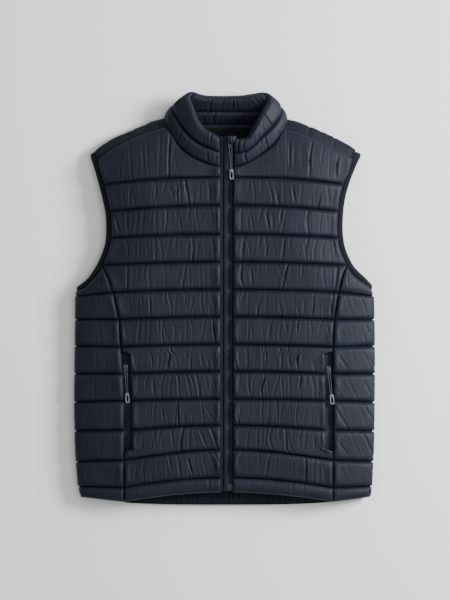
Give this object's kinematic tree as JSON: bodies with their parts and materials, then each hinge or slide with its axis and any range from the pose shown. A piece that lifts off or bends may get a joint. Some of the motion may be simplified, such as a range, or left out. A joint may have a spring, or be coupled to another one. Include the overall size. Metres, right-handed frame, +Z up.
{
  "type": "quilted vest",
  "caption": "Padded, quilted, zip-front vest with a stand collar, bound armholes and two zipped hand pockets, laid flat on its back.",
  "frame": {"origin": "middle of the vest's box, on the surface that its back lies on", "axes": "+X toward the wearer's left, +Y from the hem to the collar, +Z up off the surface, out of the fronts"},
  "size_m": [0.54, 0.7399, 0.064],
  "materials": {
    "shell": "dark navy nylon with a soft sheen",
    "yoke": "dark navy nylon, plain",
    "lining": "near-black lining",
    "facing": "dark gathered facing and seam tape",
    "binding": "matte elastic binding",
    "zip_tape": "matte zip tape with a coil",
    "slider": "dark gunmetal",
    "pull": "grey cord with a moulded end loop"
  },
  "bodies": {
    "garment": {"front_right": "shell", "front_left": "shell", "side_right": "shell", "side_left": "shell", "back": "shell", "collar": "shell", "back_lining": "lining", "neck_tape": "facing", "hem_facing": "facing", "shoulder_right": "yoke", "shoulder_left": "yoke", "armhole_binding_right": "binding", "armhole_binding_left": "binding", "zip_tape_right": "zip_tape", "zip_tape_left": "zip_tape", "zip_stop": "slider", "pocket_zip_right": "zip_tape", "pocket_zip_left": "zip_tape", "front_slider": "slider", "pocket_slider_right": "slider", "pocket_slider_left": "slider"},
    "front_zip_pull": {"front_pull": "pull"},
    "right_pocket_pull": {"pocket_pull_right": "pull"},
    "left_pocket_pull": {"pocket_pull_left": "pull"}
  },
  "joints": [
    {"name": "front_pull_hinge", "type": "hinge", "parent": "garment", "child": "front_zip_pull", "pos_m": [0.0105, 0.277, 0.06017], "axis": [-0.9994, -0.0349, 0], "range_deg": [0, 160]},
    {"name": "right_pocket_pull_hinge", "type": "hinge", "parent": "garment", "child": "right_pocket_pull", "pos_m": [-0.177, -0.124, 0.0429], "axis": [-0.9986, -0.0523, 0], "range_deg": [0, 160]},
    {"name": "left_pocket_pull_hinge", "type": "hinge", "parent": "garment", "child": "left_pocket_pull", "pos_m": [0.187, -0.127, 0.04148], "axis": [-0.9945, -0.1045, 0], "range_deg": [0, 160]}
  ]
}
